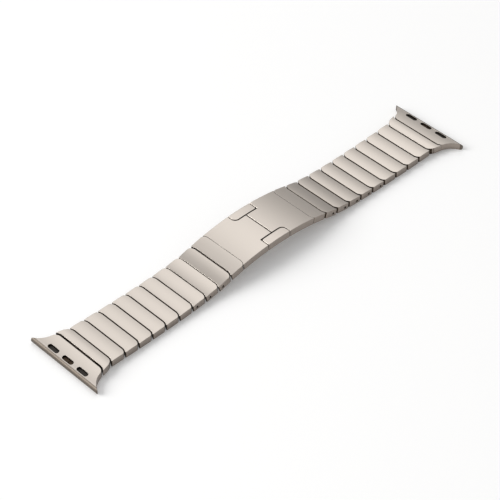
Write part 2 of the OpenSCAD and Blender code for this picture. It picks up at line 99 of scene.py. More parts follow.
class Bench:
    """The workbench: each tool holds one piece and acts on the marked parts of its mesh."""

    @staticmethod
    def put_down() -> None:
        """Leaves edit mode and deselects everything."""
        active = bpy.context.view_layer.objects.active
        if active is not None and active.mode != "OBJECT":
            bpy.ops.object.mode_set(mode="OBJECT")
        bpy.ops.object.select_all(action="DESELECT")

    @classmethod
    def hold(cls, piece: Piece) -> None:
        """Makes the piece the only selected one and the active one."""
        cls.put_down()
        piece.select_set(True)
        bpy.context.view_layer.objects.active = piece

    @classmethod
    def edit(cls, piece: Piece, mark: Mark = Mark.FACE, every: bool = True) -> None:
        """Opens the piece in edit mode.

        Args:
            piece: the piece to open.
            mark: what kind of mesh part is marked.
            every: True marks all of the mesh, False none of it.
        """
        cls.hold(piece)
        bpy.ops.object.mode_set(mode="EDIT")
        bpy.ops.mesh.select_mode(type=mark.value)
        bpy.ops.mesh.select_all(action="SELECT" if every else "DESELECT")

    @staticmethod
    def points(piece: Piece) -> Array:
        """Reads the points of the mesh, n x 3."""
        points = np.empty(len(piece.data.vertices) * 3)
        piece.data.vertices.foreach_get("co", points)
        return points.reshape(-1, 3)

    @classmethod
    def pick(cls, piece: Piece, mark: Mark, test: Test) -> int:
        """Marks the mesh parts that pass a test and leaves the piece open in edit mode.

        Args:
            piece: the piece to mark.
            mark: edges or faces.
            test: takes the ends of all edges, as an array of n x 2 x 3, or the centre and
                normal of all faces, in the same form, and gives a truth value for each.

        Returns:
            How many parts are marked.
        """
        cls.edit(piece, mark, every=False)
        bpy.ops.object.mode_set(mode="OBJECT")
        mesh = piece.data
        if mark is Mark.EDGE:
            ends = np.empty(len(mesh.edges) * 2, dtype=int)
            mesh.edges.foreach_get("vertices", ends)
            chosen = test(cls.points(piece)[ends.reshape(-1, 2)])
            mesh.edges.foreach_set("select", chosen)
        else:
            chosen = test(np.array([(tuple(f.center), tuple(f.normal)) for f in mesh.polygons]))
            mesh.polygons.foreach_set("select", chosen)
        bpy.ops.object.mode_set(mode="EDIT")
        return int(np.count_nonzero(chosen))

    @classmethod
    def plate(cls, name: str, outline: Outline, low: float, high: float) -> Piece:
        """Extrudes a counter-clockwise outline, seen from above, between two heights."""
        cls.put_down()
        bpy.ops.mesh.primitive_circle_add(vertices=len(outline), radius=1, fill_type="NGON")
        piece = bpy.context.object
        piece.name = piece.data.name = name
        piece.data.vertices.foreach_set("co", [c for x, y in outline for c in (x, y, low)])
        cls.edit(piece)
        bpy.ops.mesh.extrude_region_move(TRANSFORM_OT_translate={"value": (0, 0, high - low)})
        cls.face_outwards(piece)
        return piece

    @classmethod
    def bar(cls, name: str, profile: Outline, width: float) -> Piece:
        """Extrudes a profile of (x, z) points across Y, centred on the strand's middle."""
        piece = cls.plate(name, profile, -width / 2, width / 2)
        cls.hold(piece)
        piece.matrix_world = Matrix.Rotation(pi / 2, 4, "X")
        bpy.ops.object.transform_apply()
        return piece

    @classmethod
    def rod(cls, radius: float, length: float, at: Sequence[float] = (0, 0, 0)) -> Piece:
        """Turns a rod that lies across the strand."""
        cls.put_down()
        bpy.ops.mesh.primitive_cylinder_add(
            vertices=40, radius=radius, depth=length, location=at, rotation=(pi / 2, 0, 0))
        bpy.ops.object.transform_apply()
        return bpy.context.object

    @classmethod
    def block(cls, low: Sequence[float], high: Sequence[float]) -> Piece:
        """Saws a block between two corners."""
        cls.put_down()
        middle = [(a + b) / 2 for a, b in zip(low, high)]
        size = [b - a for a, b in zip(low, high)]
        bpy.ops.mesh.primitive_cube_add(size=1, location=middle, scale=size)
        bpy.ops.object.transform_apply()
        return bpy.context.object

    @classmethod
    def saw(cls, piece: Piece, places: Iterable[float], axis: int = 0) -> None:
        """Cuts rows into the mesh, square to an axis, without parting it."""
        normal = [float(i == axis) for i in range(3)]
        cls.edit(piece)
        for place in places:
            bpy.ops.mesh.select_all(action="SELECT")
            at = [place * n for n in normal]
            bpy.ops.mesh.bisect(plane_co=at, plane_no=normal, threshold=SNAP)
        cls.put_down()

    @classmethod
    def trim(cls, piece: Piece, place: Sequence[float], normal: Sequence[float]) -> None:
        """Cuts off what lies beyond a plane, on its normal's side, and closes the cut."""
        cls.edit(piece)
        bpy.ops.mesh.bisect(
            plane_co=place, plane_no=normal, use_fill=True, clear_outer=True, threshold=SNAP)
        cls.put_down()

    @classmethod
    def round_edges(cls, piece: Piece, width: float, test: Test, segments: int = 3) -> None:
        """Bevels the edges that pass a test."""
        if cls.pick(piece, Mark.EDGE, test):
            bpy.ops.mesh.bevel(
                offset=width, segments=segments, affect="EDGES", clamp_overlap=False)
        cls.put_down()

    @classmethod
    def pull(cls, piece: Piece, move: Sequence[float], test: Test) -> None:
        """Extrudes the faces that pass a test."""
        if cls.pick(piece, Mark.FACE, test):
            bpy.ops.mesh.extrude_region_move(TRANSFORM_OT_translate={"value": tuple(move)})
        cls.put_down()

    @classmethod
    def join(cls, piece: Piece, other: Piece) -> None:
        """Makes the other part of the piece's mesh, closed in itself."""
        cls.hold(piece)
        other.select_set(True)
        bpy.ops.object.join()

    @classmethod
    def combine(cls, piece: Piece, how: str, others: Iterable[Piece]) -> None:
        """Cuts the other solids out of the piece or fuses them on, and uses them up."""
        for other in others:
            modifier = piece.modifiers.new("joint", "BOOLEAN")
            modifier.operation, modifier.object, modifier.solver = how, other, "EXACT"
            cls.hold(piece)
            bpy.ops.object.modifier_apply(modifier=modifier.name)
            bpy.data.objects.remove(other, do_unlink=True)

    @classmethod
    def carve(cls, piece: Piece, *cutters: Piece) -> None:
        """Cuts each cutter out of the piece."""
        cls.combine(piece, "DIFFERENCE", cutters)

    @classmethod
    def fuse(cls, piece: Piece, *others: Piece) -> None:
        """Fuses each other solid onto the piece."""
        cls.combine(piece, "UNION", others)

    @classmethod
    def form(cls, piece: Piece, rule: Rule) -> None:
        """Presses the mesh to a form: a rule takes x, y and z of its points and gives new ones."""
        points = np.column_stack(rule(*cls.points(piece).T))
        piece.data.vertices.foreach_set("co", points.ravel())
        piece.data.update()

    @classmethod
    def face_outwards(cls, piece: Piece) -> None:
        """Merges doubled points and turns all faces outwards."""
        cls.edit(piece)
        bpy.ops.mesh.remove_doubles(threshold=DOUBLED)
        bpy.ops.mesh.normals_make_consistent(inside=False)
        cls.put_down()

    @classmethod
    def smooth(cls, piece: Piece, angle: float = 38.0) -> None:
        """Cleans the mesh and shades it smooth, except over edges sharper than the angle."""
        cls.face_outwards(piece)
        cls.hold(piece)
        bpy.ops.object.shade_smooth_by_angle(angle=radians(angle))
        modifier = piece.modifiers.new("even", "WEIGHTED_NORMAL")
        modifier.keep_sharp = True
        bpy.ops.object.modifier_apply(modifier=modifier.name)

    @classmethod
    def copy(cls, piece: Piece, name: str) -> Piece:
        """Makes a copy with a mesh of its own."""
        cls.hold(piece)
        bpy.ops.object.duplicate(linked=False)
        twin = bpy.context.object
        twin.name = twin.data.name = name
        return twin

    @classmethod
    def scrap(cls, *pieces: Piece) -> None:
        """Throws away patterns that have been copied."""
        cls.put_down()
        for piece in pieces:
            bpy.data.objects.remove(piece, do_unlink=True)

    @staticmethod
    def place(piece: Piece, where: Matrix, body: str, *nodes: str) -> None:
        """Sets a finished piece in its place, in metres, and ties it to its body.

        Args:
            piece: the piece, in millimetres.
            where: its frame in the bracelet, in millimetres.
            body: the body that it moves with.
            nodes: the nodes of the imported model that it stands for.
        """
        piece.data.transform(Matrix.Scale(MM, 4) @ where)
        piece.data.update()
        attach(piece, body)
        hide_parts(*nodes)
        log.info("%s: %d faces, on %s", piece.name, len(piece.data.polygons), body)


class Wire:
    """A shader value, so that arithmetic on it adds Math nodes."""

    def __init__(self, wiring: "Wiring", socket: bpy.types.NodeSocket) -> None:
        """Wraps an output socket of one material."""
        self.wiring, self.socket = wiring, socket

    def _maths(self, operation: str, other: "Wire | float") -> "Wire":
        return self.wiring.node("ShaderNodeMath", {"operation": operation}, {0: self, 1: other})

    def __add__(self, other: "Wire | float") -> "Wire":
        """Adds."""
        return self._maths("ADD", other)

    def __mul__(self, other: "Wire | float") -> "Wire":
        """Multiplies."""
        return self._maths("MULTIPLY", other)

    def __pow__(self, other: float) -> "Wire":
        """Raises to a power."""
        return self._maths("POWER", other)


class Wiring:
    """The node tree of one material, or of the sky, while it is wired."""

    def __init__(self, owner: Material | bpy.types.World, shader: str = "BSDF_PRINCIPLED") -> None:
        """Starts on a new material or world, which has a bare shader node of the given type."""
        owner.use_nodes = True
        self.owner, self.tree = owner, owner.node_tree
        self.shader = next(n for n in self.tree.nodes if n.type == shader)

    def node(self, kind: str, settings: dict | None = None, inputs: dict | None = None,
             out: int | str = 0) -> Wire:
        """Adds a node.

        Args:
            kind: the node's type.
            settings: its own settings, set before its sockets.
            inputs: the value or wire of each socket, by number or name.
            out: which output is wanted.

        Returns:
            The wanted output.
        """
        made = self.tree.nodes.new(kind)
        for key, value in (settings or {}).items():
            setattr(made, key, value)
        for key, value in (inputs or {}).items():
            self.feed(made.inputs[key], value)
        return Wire(self, made.outputs[out])

    def feed(self, socket: bpy.types.NodeSocket, value: object) -> None:
        """Sets a socket to a value, or links it to a wire."""
        if isinstance(value, Wire):
            self.tree.links.new(value.socket, socket)
        else:
            socket.default_value = value

    def set(self, **sockets: object) -> None:
        """Feeds sockets of the shader, with underscores for the spaces in their names."""
        for key, value in sockets.items():
            self.feed(self.shader.inputs[key.replace("_", " ")], value)

    def noise(self, scale: Sequence[float], detail: float = 2.0) -> Wire:
        """Gives smooth noise from 0 to 1 with a number of waves per millimetre along each axis."""
        place = self.node("ShaderNodeTexCoord", out="Object")
        place = self.node("ShaderNodeMapping", {},
                          {"Vector": place, "Scale": tuple(s / MM for s in scale)})
        return self.node("ShaderNodeTexNoise", {},
                         {"Vector": place, "Scale": 1.0, "Detail": detail})

    def spread(self, value: Wire, low: float, high: float) -> Wire:
        """Turns a value from 0 to 1 into one from low to high."""
        return value * (high - low) + low

    def tint(self, mask: Wire, low: Sequence[float], high: Sequence[float]) -> Wire:
        """Mixes two colours by a mask."""
        return self.node("ShaderNodeMix", {"data_type": "RGBA"},
                         {"Factor": mask, 6: (*low, 1.0), 7: (*high, 1.0)}, out=2)

    def bump(self, height: Wire, depth: float) -> Wire:
        """Gives the normal of a surface with a relief, depth being in millimetres."""
        return self.node("ShaderNodeBump", {},
                         {"Height": height, "Distance": depth * MM, "Strength": 1.0}, out="Normal")


@dataclass(frozen=True)
class SatinMetal:
    """Metal with a fine satin grain along the strand, slightly cloudy."""

    name: str
    light: Colour
    dark: Colour
    rough: float
    rough_play: float = 0.03
    grain: float = 0.0006

    def material(self) -> Material:
        """Wires the finish."""
        wiring = Wiring(bpy.data.materials.new(self.name))
        cloud = wiring.noise((0.09, 0.06, 0.09), 3.0)
        lines = wiring.noise((0.35, 9.0, 9.0), 3.0)
        rough, play = self.rough, self.rough_play
        wiring.set(Base_Color=wiring.tint(cloud * 0.7 + lines * 0.3, self.dark, self.light),
                   Roughness=wiring.spread(lines * 0.6 + cloud * 0.4, rough - play, rough + play),
                   Metallic=1.0, Normal=wiring.bump(lines, self.grain))
        return wiring.owner


@dataclass(frozen=True)
class TurnedSteel:
    """Steel turned on a lathe, with fine rings round it."""

    name: str
    colour: Colour
    rough: float = 0.28

    def material(self) -> Material:
        """Wires the finish."""
        wiring = Wiring(bpy.data.materials.new(self.name))
        rings = wiring.noise((1.0, 12.0, 1.0), 1.0)
        dark = tuple(c * 0.82 for c in self.colour)
        wiring.set(Base_Color=wiring.tint(rings, dark, self.colour),
                   Roughness=wiring.spread(rings, self.rough - 0.06, self.rough + 0.08),
                   Metallic=1.0, Normal=wiring.bump(rings, 0.001))
        return wiring.owner


@dataclass(frozen=True)
class SoftRubber:
    """Matt rubber with a fine moulded grain."""

    name: str
    colour: Colour

    def material(self) -> Material:
        """Wires the finish."""
        wiring = Wiring(bpy.data.materials.new(self.name))
        grain = wiring.noise((14.0, 14.0, 14.0), 2.0)
        light = tuple(c * 1.5 for c in self.colour)
        wiring.set(Base_Color=wiring.tint(grain, self.colour, light),
                   Roughness=wiring.spread(grain, 0.6, 0.78), Normal=wiring.bump(grain, 0.004))
        return wiring.owner


@dataclass(frozen=True)
class PaleTable:
    """Matt pale table top, hardly mottled and lit a little from below."""

    name: str
    light: float = 0.93
    dark: float = 0.915
    glow: float = 0.12

    def material(self) -> Material:
        """Wires the finish."""
        wiring = Wiring(bpy.data.materials.new(self.name))
        cloud = wiring.noise((0.01, 0.01, 0.01), 2.0)
        wiring.set(Base_Color=wiring.tint(cloud, (self.dark,) * 3, (self.light,) * 3),
                   Roughness=0.75, Specular_IOR_Level=0.2,
                   Emission_Color=(1.0, 1.0, 1.0, 1.0), Emission_Strength=self.glow)
        return wiring.owner


class Palette:
    """The finishes of the bracelet, each made once; flank, nose and gap are painted shade.

    Limits on a face's normal tell where a finish goes: UPRIGHT is the largest upward share for a
    side wall, SEAM_UPRIGHT for a seam's wall, and ALONG the latter's least share along the strand.
    """

    UPRIGHT, SEAM_UPRIGHT, ALONG = 0.5, 0.8, 0.5

    def __init__(self) -> None:
        """Makes the materials."""
        self.satin = self.metal("satin", (0.575, 0.522, 0.472), (0.53, 0.482, 0.436), 0.29)
        self.inner = self.metal("inner_satin", (0.48, 0.45, 0.41), (0.42, 0.39, 0.36), 0.4)
        self.steel = TurnedSteel("turned_steel", (0.42, 0.40, 0.37)).material()
        self.rubber = SoftRubber("matt_rubber", (0.016, 0.012, 0.009)).material()
        # flank, nose and gap are darker, rougher copies of the satin. They paint shade on side
        # walls, on the nose's round, in seams and windows, and on detents.
        self.flank = self.metal("flank", (0.345, 0.296, 0.26), (0.315, 0.272, 0.238), 0.33)
        self.nose = self.metal("nose", (0.17, 0.144, 0.122), (0.145, 0.124, 0.104), 0.5)
        self.gap = self.metal("gap", (0.065, 0.046, 0.032), (0.045, 0.032, 0.022), 0.45)

    @staticmethod
    def metal(name: str, light: Colour, dark: Colour, rough: float) -> Material:
        """Makes one of the satin metals."""
        return SatinMetal(f"{name}_metal", light, dark, rough).material()

    @staticmethod
    def dress(piece: Piece, material: Material) -> None:
        """Gives the whole piece one material."""
        piece.data.materials.clear()
        piece.data.materials.append(material)

    @staticmethod
    def paint(piece: Piece, material: Material, test: Callable[[Vector, Vector], bool]) -> None:
        """Gives one more finish to the faces that a test of centre and normal picks."""
        piece.data.materials.append(material)
        for face in piece.data.polygons:
            if test(face.center, face.normal):
                face.material_index = len(piece.data.materials) - 1

    def dress_with_painted_wall_shade(self, piece: Piece) -> None:
        """Dresses a piece in satin, with shade painted on the side walls by the darker flank copy.
        """
        self.dress(piece, self.satin)
        self.paint(piece, self.flank, lambda c, n: abs(n.z) < self.UPRIGHT)

    def dress_strand_with_painted_shade(self, piece: Piece, end: float = inf) -> None:
        """Dresses a piece of the strand, with shade painted dark on the seam walls up to a place.
        """
        self.dress_with_painted_wall_shade(piece)
        self.paint(piece, self.gap, lambda c, n: abs(n.x) > self.ALONG
                   and abs(n.z) < self.SEAM_UPRIGHT and c.x < end)

    def finish(self, piece: Piece, fitting: Piece) -> None:
        """Dresses and smooths a piece of the strand, with painted wall and seam shade, and the
        steel inside it; joins them.
        """
        self.dress_strand_with_painted_shade(piece)
        self.dress(fitting, self.steel)
        Bench.smooth(piece)
        Bench.smooth(fitting)
        Bench.join(piece, fitting)


@dataclass(frozen=True)
class SeamCurve:
    """The curve of each seam across the strand: straight, and rounded back at both ends."""

    front: float = 1.35
    radius: float = 2.4
    run: float = 1.9
    gap: float = 0.35
    shoulder: float = 0.35
    horn: float = -0.75
    steepest: float = 0.97

    def edge(self, width: float, gap: float, shift: float, side: Callable[[float], float],
             ease: float, steps: int = 7) -> Outline:
        """Gives one edge of a seam, from the near side of the strand to the far one.

        Args:
            width: half width of the strand at the seam.
            gap: how far this edge lies outside the rounded corners.
            shift: where the seam's frame lies along the strand.
            side: gives the half width of the piece at a place along the strand.
            ease: length of side that the rounded corner takes, negative for a horn's tip.
            steps: how many points each rounded end has.

        Returns:
            The points of the edge.
        """
        radius, middle = self.radius + gap, shift + self.front + self.radius
        level, reach = width - self.run, width
        for _ in range(4):
            turn = asin(min((reach - level) / radius, self.steepest))
            reach = side(middle - radius * cos(turn))
        corner = (middle - radius * cos(turn), reach)
        last = turn - abs(ease) / radius
        half = [(middle - radius * cos(last * k / steps),
                 level + radius * sin(last * k / steps)) for k in range(steps + 1)]
        start, end = half[-1], (corner[0] + ease, side(corner[0] + ease))
        for t in (0.25, 0.5, 0.75, 1.0):
            half.append(tuple((1 - t) ** 2 * a + 2 * t * (1 - t) * b + t * t * c
                              for a, b, c in zip(start, corner, end)))
        return [(x, -y) for x, y in reversed(half)] + half


@dataclass(frozen=True)
class HingeLine:
    """The hinge lines of one half of the strand at rest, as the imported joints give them."""

    half: Half
    points: tuple[tuple[float, float], ...]
    slopes: tuple[float, ...]

    @classmethod
    def read(cls, half: Half, joints: Sequence[dict]) -> "HingeLine":
        """Reads the hinge lines of one half, from the clasp outwards."""
        named = {joint["name"]: joint for joint in joints}
        names = [f"{half.value}_link_{k}_hinge" for k in range(LINKS, 0, -1)]
        names.append(f"{half.value}_end_hinge")
        points = [(abs(named[n]["pos_m"][0]) / MM, named[n]["pos_m"][2] / MM) for n in names]
        slopes = [atan2(a[1] - b[1], b[0] - a[0]) for a, b in zip(points, points[1:])]
        axis = named[f"{half.value}_detent_press"]["axis"]
        slopes.append(atan2(abs(axis[0]), -axis[2]))
        return cls(half, tuple(points), tuple(slopes))

    def frame(self, index: int) -> Matrix:
        """Gives the frame of link number index from the clasp, LINKS being the end piece."""
        x, z = self.points[index]
        slope = Matrix.Rotation(self.slopes[index], 4, "Y")
        return self.half.turn @ Matrix.Translation((x, 0, z)) @ slope


@dataclass(frozen=True)
class Strand:
    """Sizes that the links and end pieces share."""

    pitch: float = 5.18
    end_pitch: float = 3.95
    thickness: float = 2.25
    crown: float = 0.14
    hinge_up: float = 0.9
    clasp_w: float = 17.3
    strand_w: float = 18.1
    flare_w: float = 20.2
    pin_r: float = 0.36
    bore_r: float = 0.4
    tongue_r: float = 0.62
    tongue_w: float = 11.2
    tongue_root: float = 1.8
    pocket_r: float = 0.72
    pocket_play: float = 0.1
    pin_play: float = 0.1
    blind: float = 0.8
    through: float = 60.0
    relief: float = 0.45
    rim: float = 0.1
    seam: SeamCurve = field(default_factory=SeamCurve)

    @property
    def top(self) -> float:
        """Height of a link's crown above its hinge line."""
        return self.thickness - self.hinge_up

    @property
    def seam_at(self) -> float:
        """Distance from a hinge line to the middle of its seam."""
        return self.seam.front - self.seam.gap / 2

    def half_width(self, seam: int) -> float:
        """Gives the half width of the strand at a seam, counted from the clasp."""
        if seam >= LINKS:
            return self.flare_w / 2
        return (self.clasp_w + (self.strand_w - self.clasp_w) * seam / (LINKS - 1)) / 2

    def relieve(self, piece: Piece) -> None:
        """Slopes the underside at the clasp side, which lets the strand curl."""
        front = self.seam.front
        Bench.trim(piece, (front, 0, self.relief - self.hinge_up), (-self.relief, 0, -0.4))

    def add_tongue(self, piece: Piece) -> None:
        """Fuses on the tongue that turns on the pin, with its bore."""
        steps = [pi * (0.5 + k / 16) for k in range(17)]
        arc = [(self.tongue_r * cos(t), self.tongue_r * sin(t)) for t in steps]
        root, high = self.tongue_root, self.pocket_r - 0.2
        profile = [(root, -self.tongue_r), (root, high), (0.35, high)] + arc
        tongue = Bench.bar("tongue", profile, self.tongue_w)
        Bench.round_edges(tongue, 0.08, lambda e: (e[:, :, 0] < 1.0).all(axis=1)
                          & (np.abs(e[:, :, 1]) > self.tongue_w / 2 - NEAR).all(axis=1), 2)
        Bench.fuse(piece, tongue)
        Bench.carve(piece, Bench.rod(self.bore_r, self.tongue_w + 1))

    def pocket(self) -> Piece:
        """Gives the cutter of the next tongue's pocket, with its hinge line at the origin."""
        width = self.tongue_w / 2 + self.pocket_play
        return Bench.block((-self.pocket_r, -width, -3), (3, width, self.pocket_r))

    @staticmethod
    def leaf(length: float, width: float, high: float, sheet: float = 0.1) -> Piece:
        """Bends a flat spring to a low arc across the strand, standing on Z = 0."""
        rise = high - sheet
        radius = (length * length / 4 + rise * rise) / (2 * rise)
        spring = Bench.block((-width / 2, -length / 2, 0), (width / 2, length / 2, sheet))
        Bench.saw(spring, [length * k / 12 for k in range(-5, 6)], axis=1)
        Bench.form(spring, lambda x, y, z: (
            x, y, z + rise - radius + np.sqrt(radius ** 2 - y ** 2)))
        return spring


@dataclass
class Links:
    """The twenty links: a pattern for each kind, copied along both halves of the strand."""

    strand: Strand
    palette: Palette
    removable: dict[Half, tuple[int, ...]] = field(
        default_factory=lambda: {Half.LEFT: (10, 9, 8), Half.RIGHT: (10, 9, 8, 7, 6)})
    release_l: float = 3.7
    release_w: float = 1.5
    release_top: float = 0.37
    leaf: tuple[float, float, float] = (2.6, 0.6, 0.13)
    leaf_drop: float = 0.135
    reference: float = 8.65
    core: float = 6.4

    def outline(self, front: float, back: float, pitch: float) -> Outline:
        """Gives a link's outline from its half widths at both seams."""
        s = self.strand
        taper = (back - front) / pitch
        side = lambda x: front + taper * (x - s.seam_at)
        return (s.seam.edge(back, s.seam.gap, pitch, side, s.seam.horn)
                + s.seam.edge(front, 0.0, 0.0, side, s.seam.shoulder)[::-1])

    def crown(self, piece: Piece, pitch: float) -> None:
        """Lowers the ends of the top, so that a link is crowned along the strand."""
        s = self.strand
        radius = (pitch ** 2 / 4 + s.crown ** 2) / (2 * s.crown)
        middle = s.seam_at + pitch / 2
        drop = lambda x: radius - np.sqrt(radius ** 2 - (x - middle) ** 2)
        Bench.form(piece, lambda x, y, z: (x, y, z - np.where(z > s.top / 2, drop(x), 0)))

    def pattern(self, front: float, back: float, pitch: float, removable: bool = False) -> Piece:
        """Shapes one link.

        Args:
            front: its half width at the clasp side.
            back: its half width at the other side.
            pitch: the distance between its two hinge lines.
            removable: True gives it a through bore, a recess for the release button and a spring.

        Returns:
            The link, smooth and dressed.
        """
        s = self.strand
        link = Bench.plate("link", self.outline(front, back, pitch), -s.hinge_up, s.top)
        Bench.round_edges(link, s.rim, at_top(s.top))
        Bench.round_edges(link, FINE, at_foot(-s.hinge_up), 2)
        Bench.saw(link, np.linspace(1.65, pitch + 1.45, round(2 * pitch) + 1))
        self.crown(link, pitch)
        s.relieve(link)
        pocket = s.pocket()
        Bench.form(pocket, lambda x, y, z: (x + pitch, y, z))
        Bench.carve(link, pocket)
        s.add_tongue(link)
        reach = s.through if removable else 2 * (min(front, back) - s.blind)
        Bench.carve(link, Bench.rod(s.bore_r, reach, (pitch, 0, 0)))
        if removable:
            middle = (s.seam.front + pitch - s.pocket_r) / 2
            recess = oval(self.release_l, self.release_w, middle)
            Bench.carve(link, Bench.plate("recess", recess, -2, self.release_top))
            fitting = s.leaf(*self.leaf)
            foot = self.release_top - self.leaf_drop
            Bench.form(fitting, lambda x, y, z: (x + middle, y, z + foot))
        else:
            fitting = Bench.rod(s.pin_r, reach - s.pin_play, (pitch, 0, 0))
        # finish paints shade: darker side walls and dark seam walls on the link.
        self.palette.finish(link, fitting)
        return link

    def widen(self, piece: Piece, front: float, back: float) -> None:
        """Moves the sides of a copy out to its half widths at both seams."""
        s, core, ref = self.strand, self.core, self.reference
        out = lambda x: front + (back - front) * (x - s.seam_at) / s.pitch - ref
        move = lambda x, y: np.where(np.abs(y) > core, np.sign(y) * out(x), 0)
        Bench.form(piece, lambda x, y, z: (x, y + move(x, y), z))

    def build(self, lines: dict[Half, HingeLine]) -> None:
        """Shapes the patterns and sets a copy in each place."""
        s, ref = self.strand, self.reference
        plain, loose = self.pattern(ref, ref, s.pitch), self.pattern(ref, ref, s.pitch, True)
        flared = self.pattern(s.half_width(LINKS - 1), s.half_width(LINKS), s.end_pitch)
        for half, line in lines.items():
            for number in range(LINKS, 0, -1):
                index = LINKS - number
                removable = number in self.removable[half]
                pattern = flared if number == 1 else loose if removable else plain
                name = f"{half.value}_link_{number}"
                link = Bench.copy(pattern, f"{name}_satin")
                if number > 1:
                    self.widen(link, s.half_width(index), s.half_width(index + 1))
                Bench.place(link, line.frame(index), name, name)
        Bench.scrap(plain, loose, flared)


def oval(length: float, width: float, x: float = 0.0, y: float = 0.0, steps: int = 12) -> Outline:
    """Gives the outline of a round-ended slot that lies across the strand."""
    radius, reach = width / 2, (length - width) / 2
    far = [(x + radius * cos(pi * k / steps),
            y + reach + radius * sin(pi * k / steps)) for k in range(steps + 1)]
    return far + [(2 * x - a, 2 * y - b) for a, b in far]


@dataclass
class EndPieces:
    """The flared ends with their rounded noses, which slide into a watch case."""

    strand: Strand
    palette: Palette
    width: float = 28.1
    length: float = 6.4
    flare: float = 6.4
    crown: float = 0.1
    nose_r: float = 1.1
    nose_drop: float = 0.02
    heel: float = 0.06
    window: tuple[float, float] = (4.3, 1.44)
    window_depth: float = 1.5
    window_pitch: float = 6.2
    window_back: float = 0.75
    window_side: float = 0.75
    window_foot: float = -0.6
    crease: float = 0.13
    tongue_end: float = 1.8
    nose_shade_from: float = 0.3

    @property
    def end(self) -> float:
        """Where the nose ends."""
        return self.strand.seam_at + self.length

    @property
    def nose_x(self) -> float:
        """Where the middle of the nose lies."""
        return self.end - self.nose_r

    @property
    def window_x(self) -> float:
        """Where the row of windows lies."""
        return self.nose_x - self.window_back

    @property
    def top(self) -> float:
        """Height of the top where it runs into the round of the nose."""
        return self.nose_r - self.nose_drop - 0.02

    def side(self, x: float) -> float:
        """Gives the half width of the flare at a place along the end piece."""
        s = self.strand
        out = min(max(x - s.seam_at, 0.0), self.flare)
        return min(s.flare_w / 2 + self.flare - sqrt(self.flare ** 2 - out ** 2), self.width / 2)

    def outline(self) -> Outline:
        """Gives the outline from above."""
        s = self.strand
        front = s.seam.edge(s.half_width(LINKS), 0.0, 0.0, self.side, s.seam.shoulder)
        left_out = self.flare + (s.flare_w - self.width) / 2
        tip, w = s.seam_at + sqrt(self.flare ** 2 - left_out ** 2), self.width / 2
        start = front[-1][0]
        xs = [start + (tip - start) * k / 14 for k in range(1, 14)]
        flank = [(x, self.side(x)) for x in xs]
        flank += [(tip + 0.02, w - 0.03), (tip + 0.12, w), (self.end, w)]
        return [(x, -y) for x, y in flank] + flank[::-1] + front[::-1]

    def round_at(self, x: Array) -> Array:
        """Gives half the height of the nose's round at a place along the end piece."""
        return np.sqrt(np.clip(self.nose_r ** 2 - (x - self.nose_x) ** 2, 0, None))

    def high(self, x: Array) -> Array:
        """Gives the height of the top: a crown that meets the nose's round in a crease."""
        s = self.strand
        share = np.clip((x - s.seam.front) / (self.nose_x - s.seam.front), 0, 1)
        start = s.top - s.crown
        crown = start + (self.top - start) * share + 4 * self.crown * share * (1 - share)
        before = x < self.nose_x - self.crease - 0.005
        return np.where(before, crown, self.round_at(x) - self.nose_drop)

    def low(self, x: Array) -> Array:
        """Gives the height of the underside: flat, a slope down to the nose and its round."""
        s = self.strand
        slope = np.interp(x, [s.seam.front + 1.4, self.nose_x],
                          [-s.hinge_up, self.heel - self.nose_drop - self.nose_r])
        nose = -self.nose_drop - self.round_at(x)
        return np.where(x < self.nose_x, np.minimum(slope, nose), nose)

    def formed(self, x: Array, y: Array, z: Array) -> Points:
        """Presses the flat plate to the form of the top and the underside."""
        share = (z + self.strand.hinge_up) / (self.top + self.strand.hinge_up)
        return x, y, self.low(x) + share * (self.high(x) - self.low(x))

    def on_rim(self, ends: Array, y: float) -> Array:
        """Tells which edges lie on the rim of the window at y."""
        length, width = self.window
        probes = np.concatenate([ends, ends.mean(axis=1, keepdims=True)], axis=1)
        along = np.maximum(np.abs(probes[:, :, 1] - y) - (length - width) / 2, 0)
        away = np.abs(np.hypot(along, probes[:, :, 0] - self.window_x) - width / 2)
        return (away < 2 * NEAR).all(axis=1) & (ends[:, :, 2] > 0.9).all(axis=1)

    def pattern(self) -> Piece:
        """Shapes one end piece."""
        s = self.strand
        piece = Bench.plate("end_piece", self.outline(), -s.hinge_up, self.top)
        top, foot = at_top(self.top), at_foot(-s.hinge_up)
        sides = lambda e: (e[:, :, 0] < self.end - NEAR).any(axis=1)
        Bench.round_edges(piece, s.rim, lambda e: top(e) & sides(e))
        Bench.round_edges(piece, FINE, lambda e: foot(e) & sides(e), 2)
        rows = list(np.arange(1.8, self.nose_x - 0.4, 0.6)) + [self.nose_x - self.crease]
        rows += [self.nose_x + self.nose_r * sin(radians(a)) for a in range(0, 88, 8)]
        Bench.saw(piece, rows)
        Bench.form(piece, self.formed)
        s.relieve(piece)
        s.add_tongue(piece)
        ys = [k * self.window_pitch for k in (-1, 0, 1)]
        for y in ys:
            window = oval(*self.window, self.window_x, y)
            Bench.carve(piece, Bench.plate("window", window, self.top - self.window_depth, 3))
            Bench.round_edges(piece, 0.05, lambda e: self.on_rim(e, y), 2)
        reach = self.window[0] / 2
        # Faces inside the windows are painted dark below with the gap metal: painted shade.
        inside = lambda c, n: (abs(c.x - self.window_x) < self.window_side
                               and self.window_foot < c.z < self.top - FINE
                               and min(abs(c.y - y) for y in ys) < reach)
        # Painted shade: darker side walls, and dark seam walls up to the tongue's end.
        self.palette.dress_strand_with_painted_shade(piece, self.tongue_end)
        # Painted shade: the nose's round, a little beyond its middle, is painted darker (and
        # rougher).
        self.palette.paint(piece, self.palette.nose, lambda c, n: c.x > self.nose_x + self.nose_shade_from)
        self.palette.paint(piece, self.palette.gap, inside)
        Bench.smooth(piece)
        return piece

    def build(self, lines: dict[Half, HingeLine]) -> None:
        """Shapes the pattern and sets a copy at each end."""
        pattern = self.pattern()
        for half, line in lines.items():
            name = f"{half.value}_end_piece"
            piece = Bench.copy(pattern, f"{name}_satin")
            Bench.place(piece, line.frame(LINKS), f"{half.value}_end", name)
        Bench.scrap(pattern)


